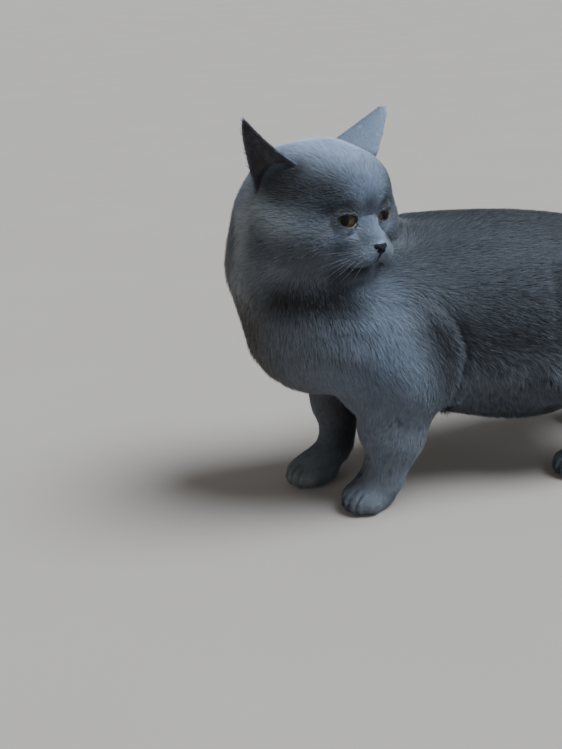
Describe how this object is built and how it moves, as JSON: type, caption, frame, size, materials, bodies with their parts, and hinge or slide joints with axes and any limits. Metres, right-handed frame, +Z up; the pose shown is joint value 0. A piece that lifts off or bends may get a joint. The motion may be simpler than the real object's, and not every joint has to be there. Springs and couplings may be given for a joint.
{
  "type": "cat",
  "caption": "Life-size still model of a blue-grey short-haired cat, standing on all fours and looking back over its left side, with copper eyes and a plush coat.",
  "frame": {"origin": "on the floor, under the centre of the whole animal's bounding box", "axes": "+X forward along the trunk towards the breast, +Y to the cat's left, +Z up"},
  "size_m": [0.5744, 0.1666, 0.3414],
  "materials": {
    "coat": "dense, soft blue-grey fur, matt with a faint sheen",
    "ear": "very short darker fur over thin skin",
    "nose": "smooth, slightly moist dark slate skin",
    "eye": "clear, wet gloss over a copper iris and a black pupil"
  },
  "bodies": {
    "root": {"head": "coat", "nose": "nose", "eye_left": "eye", "ear_left": "ear", "eye_right": "eye", "ear_right": "ear", "neck": "coat", "forearm_left": "coat", "shank_left": "coat", "forearm_right": "coat", "shank_right": "coat", "upper_arm_left": "coat", "thigh_left": "coat", "upper_arm_right": "coat", "thigh_right": "coat", "chest": "coat", "belly": "coat", "rump": "coat", "forepaw_left": "coat", "hind_paw_left": "coat", "forepaw_right": "coat", "hind_paw_right": "coat", "tail_base": "coat", "tail_middle": "coat", "tail_tip": "coat"}
  },
  "joints": []
}
